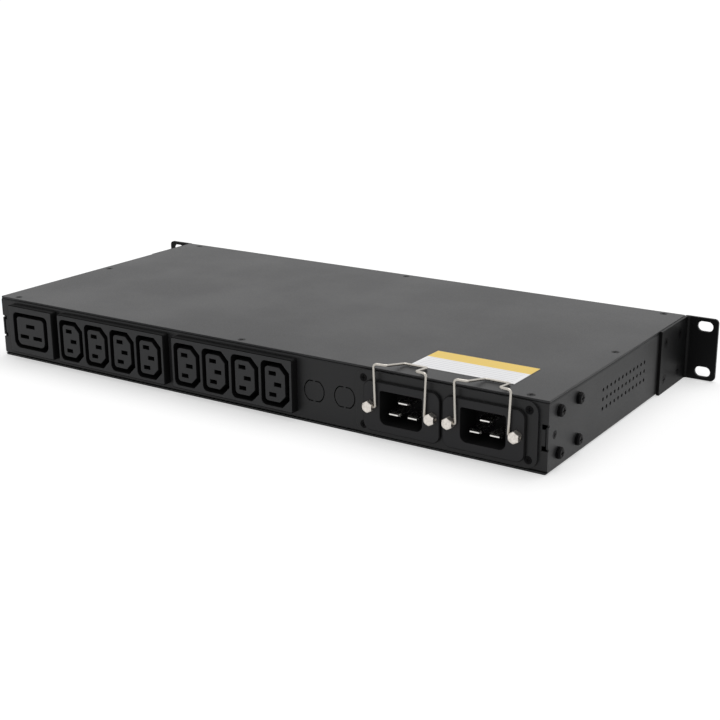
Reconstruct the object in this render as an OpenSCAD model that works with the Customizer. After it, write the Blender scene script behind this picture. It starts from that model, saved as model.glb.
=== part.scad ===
/* [Chassis] */
// Width across the side walls
chassis_w = 436.5; // [430:0.5:440]
// Depth from the back of the front plate to the outside of the rear panel
chassis_d = 210; // [205:1:240]
// Height with the cover on
chassis_h = 43.9; // [43:0.1:44.4]
// Thickness of the folded steel sheet
sheet_t = 1.2; // [1:0.1:1.4]
// Outside radius of each sheet bend
bend_r = 1.8; // [1.6:0.1:2.2]
// Depth of the folds that carry the cover
lip = 12; // [11:0.5:14]
// Thickness of the front plate
front_t = 2; // [1.5:0.1:2.5]
// Gap left between folded edges
fold_gap = 0.15; // [0.1:0.05:0.3]

/* [Rear corners] */
// Height of the lower end of the side wall's rear tab
tab_bottom = 15.4; // [14:0.1:17]
// Height of the upper end of the side wall's rear tab
tab_top = 28.2; // [26:0.1:30]
// Height of the relief notch past each end of the tab
notch_h = 1.5; // [1:0.1:2]
// Width of the relief notch
notch_w = 4; // [3:0.1:5]
// Depth of the rear panel's fold behind the tab
corner_fold = 14; // [13:0.5:16]

/* [Side walls] */
// Holes in one row of the vent field
vent_columns = 12; // [4:1:14]
// Rows in the vent field
vent_rows = 3; // [1:1:4]
// Distance between vent holes along the wall
vent_pitch_y = 5.9; // [4.5:0.1:7]
// Distance between vent rows
vent_pitch_z = 6; // [4.5:0.1:7]
// Diameter of one vent hole
vent_d = 2.4; // [2:0.1:3.2]
// Depth position of the middle of the vent field
vent_y = -2; // [-10:1:10]
// Height of the middle of the vent field
vent_z = 23.3; // [20:0.1:25]
// Distance between the side screws, along and up
side_grid = 25.3; // [24:0.1:27]
// Distance from the end of the chassis to the first pair of side screws
side_edge = 14; // [12:0.5:16]
// Height of the lower side screws
side_low = 9.2; // [8:0.1:11]

/* [Rack ears] */
// Width over both ears
ear_span = 482.6; // [480:0.1:483]
// Distance between the slot centres of the two ears
ear_hole_span = 465.1; // [464:0.1:466]
// Distance between the two slots of an ear
ear_hole_rise = 31.75; // [31:0.05:32.5]
// Thickness of the ear plate
ear_t = 2; // [1.5:0.1:2.5]
// Height of an ear
ear_h = 43.4; // [42:0.1:43.6]
// Height of the underside of an ear above the base
ear_lift = 0.2; // [0.1:0.1:0.3]
// Length of the ear along the side wall
ear_depth = 47; // [45:0.5:56]
// Length of a mounting slot
ear_slot_l = 10.8; // [9:0.1:11.5]
// Height of a mounting slot
ear_slot_h = 7; // [6.5:0.1:7.5]
// Radius of the outer corners of an ear
ear_corner_r = 3; // [1:0.5:4]

/* [Outlets] */
// Height of the moulded outlet blocks
block_h = 34.6; // [34:0.1:36]
// Distance that the blocks stand proud of the rear panel
block_proud = 5.7; // [3:0.1:7]
// Height of the middle of the blocks
block_z = 22.9; // [22:0.1:23.5]
// Distance between outlets in a block
outlet_pitch = 24; // [23.6:0.1:24.4]
// Outlets in a block
bank_outlets = 4; // [2:1:4]
// Wall left past the end outlets of a block
bank_edge = 1.2; // [1:0.1:2]
// Wall left above and below the grooves of the outlets
groove_wall = 2.6; // [2.4:0.1:2.8]
// Drop of the small outlets below the middle of their block
small_drop = 0.4; // [0:0.1:0.6]
// Width of the large outlet's block
large_w = 43.2; // [42:0.1:45]
// Distance from the side wall to the large outlet's block
large_edge = 12.65; // [12:0.05:14]
// Gap between the large outlet's block and the first block
large_gap = 5.7; // [5:0.1:7]
// Gap between the two blocks of outlets
bank_gap = 6.9; // [6:0.1:8]
// Depth of the sockets from the face of a block
socket_depth = 17; // [15:0.5:19]
// Thickness of the wall behind a socket
socket_back = 3; // [2:0.1:4]
// Overlap of a block's rim on the rear panel
rim = 0.8; // [0.6:0.1:1]

/* [Knock-outs] */
// Width of a knock-out
knock_w = 15.6; // [14:0.1:16]
// Height of a knock-out between its flats
knock_h = 13.6; // [12:0.1:15]
// Distance between knock-outs
knock_pitch = 22.7; // [20:0.1:24]
// Gap between a knock-out and the outlet block beside it
knock_gap = 4.9; // [4:0.1:6]
// Width of the cut line round a knock-out
knock_cut = 0.7; // [0.4:0.1:0.9]
// Width of the ties that hold a knock-out
knock_tie = 1.6; // [1:0.1:2]

/* [Inlets] */
// Distance from the side wall to the middle between the inlets
inlet_edge = 66.15; // [65.5:0.05:67]
// Gap between the flanges of the inlets
inlet_gap = 1.7; // [1:0.1:3]
// Height of the middle of the inlets
inlet_z = 21.3; // [20.5:0.1:22]
// Width of an inlet's flange
flange_w = 52.8; // [51:0.1:53.5]
// Height of an inlet's flange
flange_h = 31.4; // [30:0.1:33]
// Thickness of an inlet's flange
flange_t = 2.2; // [1.8:0.1:3]
// Depth of the inlet cavity from its face
cavity_depth = 20; // [19:0.5:22]
// Margin of the raised plate beside the inlets
plate_margin_x = 6.65; // [6:0.05:7]
// Margin of the raised plate above and below the inlets
plate_margin_z = 4.1; // [3:0.1:4.2]
// Thickness of the raised plate
plate_t = 1.8; // [1.5:0.1:2.2]
// Radius of the plate's corners
plate_r = 6.5; // [4:0.5:8]

/* [Cord retainers] */
// Diameter of the retainer wire
wire_d = 1.6; // [1.4:0.1:1.8]
// Size of the retainer posts across their flats
post_af = 6.4; // [6:0.1:7]
// Length of a retainer post
post_l = 4.5; // [4:0.1:6]
// Distance from the inlet's middle to a post
post_x = 21.25; // [21:0.05:22]
// Length of the legs of the wire
leg_l = 26.8; // [26:0.1:30]
// Distance that each leg splays outward over its length
leg_splay = 1.1; // [0:0.1:1.5]
// Half the width of the loop where it leaves the shoulders
loop_root = 10.3; // [9:0.1:12]
// Half the width of the loop at its end
loop_tip = 7.9; // [7:0.1:10]
// Reach of the loop over the cover
loop_reach = 18.6; // [14:0.1:20]
// Radius of the bends in the wire
wire_bend = 2; // [1.5:0.1:2.5]
// Clearance around the wire in its posts
pivot_gap = 0.06; // [0.02:0.01:0.1]

/* [Label] */
// Width of the label on the cover
label_w = 69.6; // [60:0.1:72]
// Depth of the label
label_d = 33.5; // [25:0.1:36]
// Thickness of the label
label_t = 0.2; // [0.1:0.05:0.3]
// Distance from the side wall to the label
label_side = 29.65; // [20:0.05:40]
// Distance from the rear panel to the label
label_rear = 15.95; // [10:0.05:25]

/* [Front controls] */
// Diameter of the preference button
button_d = 7; // [6:0.5:9]
// Travel of the preference button
button_travel = 1.5; // [1:0.1:2]
// Middle of the preference button, across the chassis
button_x = 48; // [44:1:60]
// Lamps in the front row
lamp_count = 6; // [2:1:8]
// Distance between lamps
lamp_pitch = 12; // [9:0.5:13]
// Running gap around the button
button_gap = 0.3; // [0.2:0.05:0.5]

/* [Inside] */
// Width of the power board
board_w = 226; // [220:1:230]
// Depth of the power board
board_d = 136; // [130:1:140]
// Height of the posts under the boards
board_lift = 8; // [6:0.5:9]
// Thickness of the boards
board_t = 1.6; // [1.2:0.1:2]
// Width of the heatsink, across the chassis
sink_w = 87; // [84:1:88]
// Depth of the heatsink
sink_d = 124; // [122:1:126]
// Thickness of the heatsink's base
sink_base = 6; // [5:0.5:7]
// Height of the heatsink's fins above its base
fin_h = 26; // [20:1:30]
// Thickness of one fin
fin_t = 1.8; // [1.2:0.1:2.4]
// Number of fins
fin_count = 17; // [8:1:18]
// Width of the flat that carries the thyristor modules
sink_flat = 42; // [40:0.5:43]
// Diameter of the inner wires
lead_d = 3; // [2.4:0.1:3.2]

// Width of a small plug's contact
small_contact_w = 5; // [4:0.1:5.4]
// Width of a large plug's contact
large_contact_w = 8; // [6:0.1:8.4]
// Distance from the side wall to the heatsink
sink_edge = 5; // [4:0.5:6]
// Gap between the heatsink and the power board
sink_gap = 9; // [8:0.5:12]
// Width of the control board
control_w = 52; // [48:1:60]
// Depth of the control board
control_d = 70; // [60:1:74]
// Distance from the side wall to the control board
control_edge = 7; // [4:0.5:9]

/* [Fits] */
// Gap between a screw and its hole
screw_fit = 0.05; // [0.03:0.01:0.1]
// Gap between a moulded body and its cut-out
body_fit = 0.2; // [0.1:0.05:0.3]

/* [Hidden] */
$fn = 48;
eps = 0.01;

// Main planes. The front of the chassis faces -Y and its sockets face +Y.
front_y = -chassis_d / 2;
rear_y = chassis_d / 2;
side_x = chassis_w / 2;
wall_h = chassis_h - sheet_t;
inner_x = side_x - sheet_t;
panel_in_y = rear_y - sheet_t;
fold_room = 1;
fold_end_x = inner_x - (bend_r - sheet_t) - fold_gap;
tab_mid = (tab_top + tab_bottom) / 2;

// Screw sizes as [shank radius, head radius, head height].
M3_CSK = [1.5, 2.55, 1.05];
M4_CSK = [2, 3.6, 1.6];
M4_PAN = [2, 3.6, 2.6];
M3_PAN = [1.5, 2.75, 1.9];

// Cover screws: three along each end fold and one on each side fold.
cover_edge = 4.7;
cover_end_x = side_x - 13.5;
cover_side_x = side_x - lip / 2;
COVER_HOLES = concat(
  [for (x = [-cover_end_x, 0, cover_end_x]) [x, rear_y - cover_edge]],
  [for (x = [-cover_end_x, 0, cover_end_x]) [x, front_y + cover_edge]],
  [for (s = [-1, 1]) [s * cover_side_x, 0]]);
cover_screw_l = 4;

// Side screw rows, as [depth position, height].
REAR_GRID = [for (i = [0, 1], j = [0, 1]) [rear_y - side_edge - i * side_grid, side_low + j * side_grid]];
FRONT_GRID = [for (i = [0, 1], j = [0, 1]) [front_y + side_edge + i * side_grid, side_low + j * side_grid]];
collar_r = 3.2;
collar_l = 2;
side_screw_l = 6;
corner_screw_y = rear_y - 8.2;
ear_screw_l = 7.5;
corner_screw_l = 4.5;
plate_screw_l = 6;

// Outlets, from the side wall inwards.
bank_w = bank_outlets * outlet_pitch + 2 * bank_edge;
large_x = side_x - large_edge - large_w / 2;
bank_1_x = large_x - large_w / 2 - large_gap - bank_w / 2;
bank_2_x = bank_1_x - bank_w - bank_gap;
body_h = block_h - 2 * rim;
block_face = rear_y + block_proud;
socket_floor = block_face - socket_depth;
block_end = socket_floor - socket_back;
small_z = block_z - small_drop;
BANK_X = [for (i = [0:bank_outlets - 1]) (i - (bank_outlets - 1) / 2) * outlet_pitch];
SMALL_POLES = [[2, 7], [-2, 0], [2, -7]];
LARGE_POLES = [[6.5, -4], [0, 4], [-6.5, -4]];

// Socket outlines as [width, height, corner radius, size of the odd corners].
SMALL_GROOVE = [outlet_pitch - 1.7, block_h - 2 * groove_wall, 3.8, 5.8];
SMALL_CORE = [SMALL_GROOVE[0] - 7, SMALL_GROOVE[1] - 6.8, 2.4, 4.4];
LARGE_GROOVE = [34.3, 26.2, 3.8, 5.5];
LARGE_CORE = [LARGE_GROOVE[0] - 7.7, LARGE_GROOVE[1] - 6, 2.4, 4];
edge_round = 0.6;
contact_floor = 15;
contact_play = 0.4;
contact_slot_h = 2.9;
leaf_t = 0.45;
leaf_throat = 0.35;
contact_inset = 6;
tail_w = 3.2;
tail_t = 0.8;
tail_l = 3;
bus_t = 1;
bus_h = 5;
bus_y = block_end - bus_t;
hook_proud = 0.5;
hook_z = 9;
hook_w = 5;
hook_l = 4;

// Inlets.
inlet_mid_x = inlet_edge - side_x;
INLET_X = [for (s = [1, -1]) inlet_mid_x + s * (flange_w + inlet_gap) / 2];
inlet_a_x = INLET_X[0];
inlet_b_x = INLET_X[1];
plate_w = 2 * (flange_w + plate_margin_x) + inlet_gap;
plate_h = flange_h + 2 * plate_margin_z;
plate_shift = [-0.2, 1.1];
plate_x = inlet_mid_x + plate_shift[0];
plate_z = inlet_z + plate_shift[1];
plate_screw_edge = [5.4, 5];
plate_face = rear_y + plate_t;
inlet_face = plate_face + flange_t;
flange_r = 5.5;
flange_round = 0.5;
cavity_w = 29.5;
cavity_h = 21.1;
cavity_wall = 2;
inlet_body_w = cavity_w + 2 * cavity_wall;
inlet_body_h = cavity_h + 2 * cavity_wall;
cavity_floor = inlet_face - cavity_depth;
inlet_back = 3;
inlet_end = cavity_floor - inlet_back;
pin_l = 17.5;
pin_w = 8;
pin_t = 2;
pin_nose = 1.6;
nose_side = 1;
nose_flat = 0.6;
tab_l = 8;
tab_w = 6.3;
tab_t = 0.8;
PLATE_HOLES = [for (i = [-1, 1], j = [-1, 1])
  [plate_x + i * (plate_w / 2 - plate_screw_edge[0]), plate_z + j * (plate_h / 2 - plate_screw_edge[1])]];
POST_X = [for (x = INLET_X, s = [-1, 1]) x + s * post_x];

// Retainer wire. Its feet turn in cross holes in the posts.
wire_r = wire_d / 2;
foot_bend = 1.1;
foot_x = post_x - post_af / 2 - foot_bend - 0.05;
pivot_y = inlet_face + wire_r + 0.5;
pivot_z = inlet_z;
foot_end = post_x + post_af / 2 - 0.6;
rest_gap = 0.25;
loop_drop = pivot_z + leg_l - (chassis_h + rest_gap + wire_r);
shoulder_reach = 1.7;
shoulder_drop = loop_drop * shoulder_reach / loop_reach;
hole_r = wire_r + pivot_gap;
post_r = post_af / 2 / cos(30);
post_stud_r = 1.5;
nut_t = 2.4;
nut_r = 5.5 / 2 / cos(30);

// Knock-outs: as many as the space between the outlets and the inlet plate holds.
KNOCKOUT_X = [for (x = [bank_2_x - bank_w / 2 - knock_gap - knock_w / 2:-knock_pitch:
  plate_x + plate_w / 2 + knock_w / 2 + 1]) x];

// Boards. The power board lies beside the heatsink, with its wire entries to the rear.
board_z = sheet_t + board_lift;
board_top = board_z + board_t;
sink_x0 = sink_edge - inner_x;
sink_x1 = sink_x0 + sink_w;
board_x0 = sink_x1 + sink_gap;
board_x1 = board_x0 + board_w;
board_mid_x = board_x0 + board_w / 2;
block_in_y = rear_y - 39;
board_y1 = block_in_y - 2;
board_mid_y = board_y1 - board_d / 2;
board_edge = 5;
BOARD_HOLES = [for (i = [-1, 0, 1], j = [-1, 1])
  [board_mid_x + i * (board_w / 2 - board_edge), board_mid_y + j * (board_d / 2 - board_edge)]];

// Heatsink with its modules, and the straps to the power board.
sink_mid_y = board_y1 - 4 - sink_d / 2;
sink_top = sheet_t + sink_base;
sink_end = 9.2;
module_count = 4;
module_pitch = (sink_d - 2 * sink_end) / module_count;
module_l = 38;
module_w = module_pitch - 1;
module_h = 9;
lug_x = 15;
lug_t = 3;
boss_w = 8;
boss_h = 3.2;
module_x = sink_x1 - sink_flat / 2;
MODULE_Y = [for (i = [0:module_count - 1]) sink_mid_y + (i - (module_count - 1) / 2) * module_pitch];
terminal_x = 11;
terminal_y = 6.5;
strap_z = sink_top + module_h + boss_h;
strap_t = 0.8;
strap_w = 7;
strap_from = module_x + terminal_x;
strap_to = board_x0 + 8;
strap_post_r = 3.6;
sink_screw_edge = 4.2;
STRAP_Y = [for (y = MODULE_Y, s = [-1, 1]) y + s * terminal_y];
SINK_HOLES = [for (x = [sink_x1 - 4, sink_x1 - sink_flat + 3], s = [-1, 1])
  [x, sink_mid_y + s * (sink_d / 2 - sink_screw_edge)]];

// Parts on the power board: the first three from its left edge, the rest from its right.
relay_w = 30;
relay_d = 27;
relay_h = 24;
RELAY_X = [for (i = [0:3]) board_x0 + 28 + i * (relay_w + 2)];
row_front_y = board_mid_y - 32;
sensor_r = 11;
sensor_bore_r = 5;
sensor_t = 10;
SENSOR_X = [for (i = [0, 1]) board_x0 + 40 + i * 40];
varistor_r = 7.5;
varistor_t = 4.6;
VARISTOR_X = [for (i = [0:3]) board_x0 + 116 + i * 9];
row_mid_y = board_mid_y + 16;
TRANSFORMER_X = [for (i = [1, 0]) board_x1 - 16 - i * 26];
fuse_r = 3.1;
fuse_l = 32;
fuse_z = board_top + 6;
clip_w = 6;
fuse_y = board_mid_y + 12;
FUSE_X = [for (i = [1, 0]) board_x1 - 32 - i * 16];
film_w = 10;
film_d = 26;
film_h = 19;
FILM_X = [for (i = [3:-1:0]) board_x1 - 12 - i * (film_w + 4)];
row_rear_y = board_mid_y + 42;

// Terminal blocks and wires.
lead_r = lead_d / 2;
pole_pitch = 9;
terminal_d = 12;
input_block_x = board_x0 + 46;
output_block_x = board_x1 - 56;
large_block_x = board_x1 - 24;
block_top_z = board_top + 16;
entry_z = board_top + 5;
entry_end_y = block_in_y - 6;
lane_z = block_top_z + 9.2;
lane_step = 3.6;
lane_bend = 1.8;
stud_x = plate_x + plate_w / 2 + 17;
stud_y = rear_y - 19;

// Control board with its jacks.
control_x1 = inner_x - control_edge;
control_x0 = control_x1 - control_w;
control_y0 = front_y + 1;
control_mid_x = control_x0 + control_w / 2;
CONTROL_HOLES = [for (i = [-1, 1], y = [24, control_d - 14])
  [control_mid_x + i * (control_w / 2 - 4), control_y0 + y]];
jack_x = control_x0 + 12;
serial_x = control_x1 - 15;
jack_w = 16;
jack_h = 13.4;
jack_d = 21;
serial_w = 13.2;
jack_face = front_y - front_t;
mouth_z = board_top + 3.4;
key_w = 6;
key_h = 2;

// Lamps and button, on a board behind the front plate.
display_w = 130;
display_h = 24;
display_gap = 8;
display_y = front_y + display_gap;
display_z = 23;
lamp_r = 1.5;
lamp_x = -36;
LAMP_X = [for (i = [0:lamp_count - 1]) lamp_x + i * lamp_pitch];
DISPLAY_HOLES = [for (i = [-1, 1], j = [-1, 1])
  [i * (display_w / 2 - 4), display_z + j * (display_h / 2 - 4)]];
button_r = button_d / 2;
button_proud = 2.4;
button_round = 0.5;
collar_rest = 0.05;
collar_grow = 1.2;
collar_y = front_y + collar_rest + 1;
plunger_r = 1.7;
plunger_seat = 1.1;
switch_w = 7;
switch_y = collar_y + button_travel + 1.45;
button_face = front_y - front_t - button_proud;

steel_black = "#3a3b3d";
plastic_black = "#232425";
bright_steel = "#c9c7c1";
brass = "#c8a24a";

// ---------------------------------------------------------------- helpers

// Rectangle with round corners, centred.
module round_rect(w, h, r) {
  square([w - 2 * r, h], center = true);
  square([w, h - 2 * r], center = true);
  for (i = [-1, 1], j = [-1, 1])
    translate([i * (w / 2 - r), j * (h / 2 - r)])
      circle(r);
}

// Turns an outline drawn in X and Z into a plate that spans y0 to y1.
module plate_y(y0, y1) {
  translate([0, y1, 0])
    rotate([90, 0, 0])
      linear_extrude(y1 - y0)
        children();
}

// Box given by its low and high corners.
module box(a, b) {
  translate(a)
    cube([b[0] - a[0], b[1] - a[1], b[2] - a[2]]);
}

// Rod along Y from y0 to y1.
module rod_y(x, z, r, y0, y1) {
  translate([x, y0, z])
    rotate([-90, 0, 0])
      cylinder(r = r, h = y1 - y0);
}

// Rod along X from x0 to x1.
module rod_x(y, z, r, x0, x1) {
  translate([x0, y, z])
    rotate([0, 90, 0])
      cylinder(r = r, h = x1 - x0);
}

// Countersunk screw: its head ends at z = 0 and its shank points down.
module csk_screw(s, l, grow = 0) {
  translate([0, 0, -s[2] - grow])
    cylinder(r1 = s[0] + grow, r2 = s[1] + grow, h = s[2] + grow);
  translate([0, 0, -l])
    cylinder(r = s[0] + grow, h = l - s[2] / 2);
}

// Cross recess cut into a screw head whose top is at z = 0.
module cross_recess(size, depth) {
  for (a = [0, 90])
    rotate([0, 0, a])
      translate([-size / 2, -size / 10, -depth])
        cube([size, size / 5, depth + eps]);
}

module csk_head(s, l) {
  difference() {
    csk_screw(s, l);
    cross_recess(s[1] * 1.1, 0.6);
  }
}

// Pan head screw: its head sits on z = 0 and its shank points down.
module pan_head(s, l) {
  edge = s[2] * 0.45;
  difference() {
    union() {
      rotate_extrude()
        union() {
          square([s[1] - edge, s[2]]);
          square([s[1], s[2] - edge]);
          intersection() {
            translate([s[1] - edge, s[2] - edge])
              circle(edge);
            square([s[1], s[2]]);
          }
        }
      translate([0, 0, -l])
        cylinder(r = s[0], h = l + eps);
    }
    translate([0, 0, s[2]])
      cross_recess(s[1] * 1.1, s[2] * 0.5);
  }
}

function unit(v) = v / norm(v);
function corner_angle(a, b) = acos(max(-1, min(1, a * b)));

// Matrix whose Z axis is along w and whose X axis is along u, at the point o.
function frame_at(o, u, w) =
  let (v = cross(w, u))
  [[u[0], v[0], w[0], o[0]], [u[1], v[1], w[1], o[1]], [u[2], v[2], w[2], o[2]], [0, 0, 0, 1]];

// Any unit vector at right angles to w.
function side_of(w) = unit(cross(w, abs(w[2]) < 0.9 ? [0, 0, 1] : [1, 0, 0]));

// Round wire that follows the points. bends holds the bend radius at each of them.
module bent_wire(points, r, bends) {
  n = len(points);
  dirs = [for (i = [0:n - 2]) unit(points[i + 1] - points[i])];
  cut = [for (i = [0:n - 1])
    i == 0 || i == n - 1 ? 0 : bends[i] * tan(corner_angle(dirs[i - 1], dirs[i]) / 2)];
  for (i = [0:n - 2])
    multmatrix(frame_at(points[i] + dirs[i] * cut[i], side_of(dirs[i]), dirs[i]))
      cylinder(r = r, h = norm(points[i + 1] - points[i]) - cut[i] - cut[i + 1]);
  for (i = [1:1:n - 2])
    let (
      a = dirs[i - 1],
      b = dirs[i],
      turn = corner_angle(a, b),
      axis = unit(cross(a, b)),
      out = cross(a, axis),
      centre = points[i] - a * cut[i] - out * bends[i])
    multmatrix(frame_at(centre, out, axis))
      rotate_extrude(angle = turn)
        translate([bends[i], 0])
          circle(r);
}

// ---------------------------------------------------------------- housing

module tray_profile() {
  mouth = chassis_w - 2 * lip;
  translate([0, wall_h / 2])
    difference() {
      round_rect(chassis_w, wall_h, bend_r);
      round_rect(chassis_w - 2 * sheet_t, wall_h - 2 * sheet_t, bend_r - sheet_t);
      translate([-mouth / 2, 0])
        square([mouth, wall_h]);
    }
}

module vent_field(x0, x1) {
  for (i = [0:vent_columns - 1], j = [0:vent_rows - 1])
    rod_x(vent_y + (i - (vent_columns - 1) / 2) * vent_pitch_y,
      vent_z + (j - (vent_rows - 1) / 2) * vent_pitch_z, vent_d / 2, x0, x1);
}

module base_tray() {
  color(steel_black)
    difference() {
      union() {
        plate_y(front_y, rear_y)
          tray_profile();
        for (s = [-1, 1], g = concat(REAR_GRID, FRONT_GRID))
          mirror([s < 0 ? 1 : 0, 0, 0])
            rod_x(g[0], g[1], collar_r, inner_x - collar_l, inner_x + eps);
      }
      for (s = [0, 1])
        mirror([s, 0, 0]) {
          // cover folds end short of the folds of the rear panel and front plate
          box([inner_x - lip, panel_in_y - lip - fold_room, wall_h - bend_r - eps],
            [inner_x, rear_y + 1, wall_h + 1]);
          box([inner_x - lip, front_y - 1, wall_h - bend_r - eps],
            [inner_x, front_y + lip + fold_room, wall_h + 1]);
          // side wall ends behind the rear panel, apart from its tab
          box([inner_x - lip, panel_in_y, tab_top], [side_x + 1, rear_y + 1, wall_h + 1]);
          box([inner_x - lip, panel_in_y, sheet_t], [side_x + 1, rear_y + 1, tab_bottom]);
          for (g = concat(REAR_GRID, FRONT_GRID))
            rod_x(g[0], g[1], M4_PAN[0] + screw_fit, inner_x - lip, side_x + 1);
          translate([side_x, corner_screw_y, tab_mid])
            rotate([0, 90, 0])
              csk_screw(M3_CSK, 3, screw_fit);
          vent_field(inner_x - 1, side_x + 1);
          translate([cover_side_x, 0, wall_h - lip])
            cylinder(r = M3_CSK[0] + screw_fit, h = 2 * lip);
        }
      for (p = SINK_HOLES)
        translate([p[0], p[1], -1])
          cylinder(r = M4_PAN[0] + screw_fit, h = 4);
    }
}

// Channel outline in Y and Z: a web at y = 0 with both folds towards -y.
module channel(depth, height, t) {
  translate([0, height / 2])
    intersection() {
      difference() {
        round_rect(2 * depth, height, bend_r);
        round_rect(2 * depth - 2 * t, height - 2 * t, max(bend_r - t, 0.3));
      }
      translate([0, -height / 2])
        square([depth, height]);
    }
}

// Folded channel across the chassis whose outer face is at y = face.
module folded_panel(face, t, inward) {
  difference() {
    translate([-side_x, face, sheet_t])
      rotate([90, 0, 90])
        linear_extrude(chassis_w)
          mirror([inward < 0 ? 1 : 0, 0])
            translate([-lip - t, 0])
              channel(lip + t, wall_h - sheet_t, t);
    for (s = [0, 1])
      mirror([s, 0, 0])
        box([fold_end_x, inward > 0 ? face - 2 * lip : face + t, 0],
          [side_x + 1, inward > 0 ? face - t : face + 2 * lip, chassis_h]);
  }
}

module double_d(w, h) {
  intersection() {
    circle(w / 2);
    square([2 * w, h], center = true);
  }
}

// Cut line of a knock-out, left joined by two small ties.
module knockout_line() {
  difference() {
    double_d(knock_w, knock_h);
    double_d(knock_w - 2 * knock_cut, knock_h - 2 * knock_cut);
    square([knock_tie, 2 * knock_h], center = true);
  }
}

module corner_return() {
  fold_x = inner_x - fold_gap;
  translate([0, 0, tab_bottom + notch_h])
    linear_extrude(tab_top - tab_bottom - 2 * notch_h)
      intersection() {
        translate([fold_x - corner_fold, rear_y - corner_fold])
          difference() {
            round_rect(2 * corner_fold, 2 * corner_fold, bend_r);
            round_rect(2 * corner_fold - 2 * sheet_t, 2 * corner_fold - 2 * sheet_t, bend_r - sheet_t);
          }
        translate([fold_x - bend_r - eps, rear_y - corner_fold])
          square([bend_r + 1, corner_fold]);
      }
}

module rear_panel() {
  color(steel_black)
    difference() {
      union() {
        difference() {
          folded_panel(rear_y, sheet_t, 1);
          for (s = [0, 1])
            mirror([s, 0, 0]) {
              // room for the side wall's tab and the bend beside it
              box([inner_x - fold_gap - bend_r, rear_y - 2 * lip, tab_bottom + notch_h - eps],
                [side_x + 1, rear_y + 1, tab_top - notch_h + eps]);
              // relief notches at both ends of the tab
              for (z = [tab_bottom - notch_h, tab_top - notch_h])
                box([side_x - notch_w, rear_y - 2, z], [side_x + 1, rear_y + 1, z + 2 * notch_h]);
            }
        }
        for (s = [0, 1])
          mirror([s, 0, 0])
            difference() {
              corner_return();
              rod_x(corner_screw_y, tab_mid, M3_CSK[0] + screw_fit, inner_x - 3, side_x);
            }
      }
      for (x = [bank_1_x, bank_2_x])
        outlet_cutout(x, bank_w);
      outlet_cutout(large_x, large_w);
      for (x = INLET_X)
        inlet_cutout(x);
      for (x = KNOCKOUT_X)
        translate([x, 0, inlet_z])
          plate_y(rear_y - 2, rear_y + 1)
            knockout_line();
      for (p = PLATE_HOLES)
        rod_y(p[0], p[1], M3_CSK[0] + screw_fit, rear_y - 2, rear_y + 1);
      for (x = POST_X)
        rod_y(x, inlet_z, post_stud_r + screw_fit, rear_y - 2, rear_y + 1);
      for (p = COVER_HOLES)
        if (p[1] > 0)
          translate([p[0], p[1], wall_h - 2])
            cylinder(r = M3_CSK[0] + screw_fit, h = 4);
    }
}

module outlet_cutout(x, w) {
  translate([x, 0, block_z])
    plate_y(rear_y - 2, rear_y + 1)
      square([w - 2 * rim + 2 * body_fit, body_h + 2 * body_fit], center = true);
}

module inlet_cutout(x, y1 = rear_y + 1) {
  translate([x, 0, inlet_z])
    plate_y(rear_y - 2, y1)
      square([inlet_body_w + 2 * body_fit, inlet_body_h + 2 * body_fit], center = true);
}

module front_plate() {
  color(steel_black)
    difference() {
      folded_panel(front_y - front_t, front_t, -1);
      for (x = LAMP_X)
        rod_y(x, display_z, lamp_r + screw_fit, front_y - front_t - 1, front_y + 1);
      rod_y(button_x, display_z, button_r + button_gap, front_y - front_t - 1, front_y + 1);
      jack_cutout(jack_x, jack_w);
      jack_cutout(serial_x, serial_w);
      for (p = COVER_HOLES)
        if (p[1] < -1)
          translate([p[0], p[1], wall_h - 3])
            cylinder(r = M3_CSK[0] + screw_fit, h = 4);
    }
}

module jack_cutout(x, w) {
  translate([x, 0, board_top + jack_h / 2])
    plate_y(front_y - front_t - 1, front_y + 1)
      square([w + 2 * body_fit, jack_h + 2 * body_fit], center = true);
}

module top_cover() {
  color(steel_black)
    difference() {
      translate([0, (front_y + rear_y) / 2, wall_h])
        linear_extrude(sheet_t)
          round_rect(chassis_w, chassis_d, 1);
      for (p = COVER_HOLES)
        translate([p[0], p[1], chassis_h])
          csk_screw(M3_CSK, 4, screw_fit);
    }
}

module cover_screws() {
  color("black")
    for (p = COVER_HOLES)
      translate([p[0], p[1], chassis_h])
        csk_head(M3_CSK, cover_screw_l);
}

module cover_label() {
  color("gold")
    translate([label_side - side_x, rear_y - label_rear - label_d, chassis_h])
      linear_extrude(label_t)
        square([label_w, label_d]);
}

module side_screws() {
  color("black")
    for (s = [0, 1])
      mirror([s, 0, 0])
        for (g = REAR_GRID)
          translate([side_x, g[0], g[1]])
            rotate([0, 90, 0])
              pan_head(M4_PAN, side_screw_l);
}

module corner_screws() {
  color("black")
    for (s = [0, 1])
      mirror([s, 0, 0])
        translate([side_x, corner_screw_y, tab_mid])
          rotate([0, 90, 0])
            csk_head(M3_CSK, corner_screw_l);
}

// ---------------------------------------------------------------- rack ears

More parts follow.
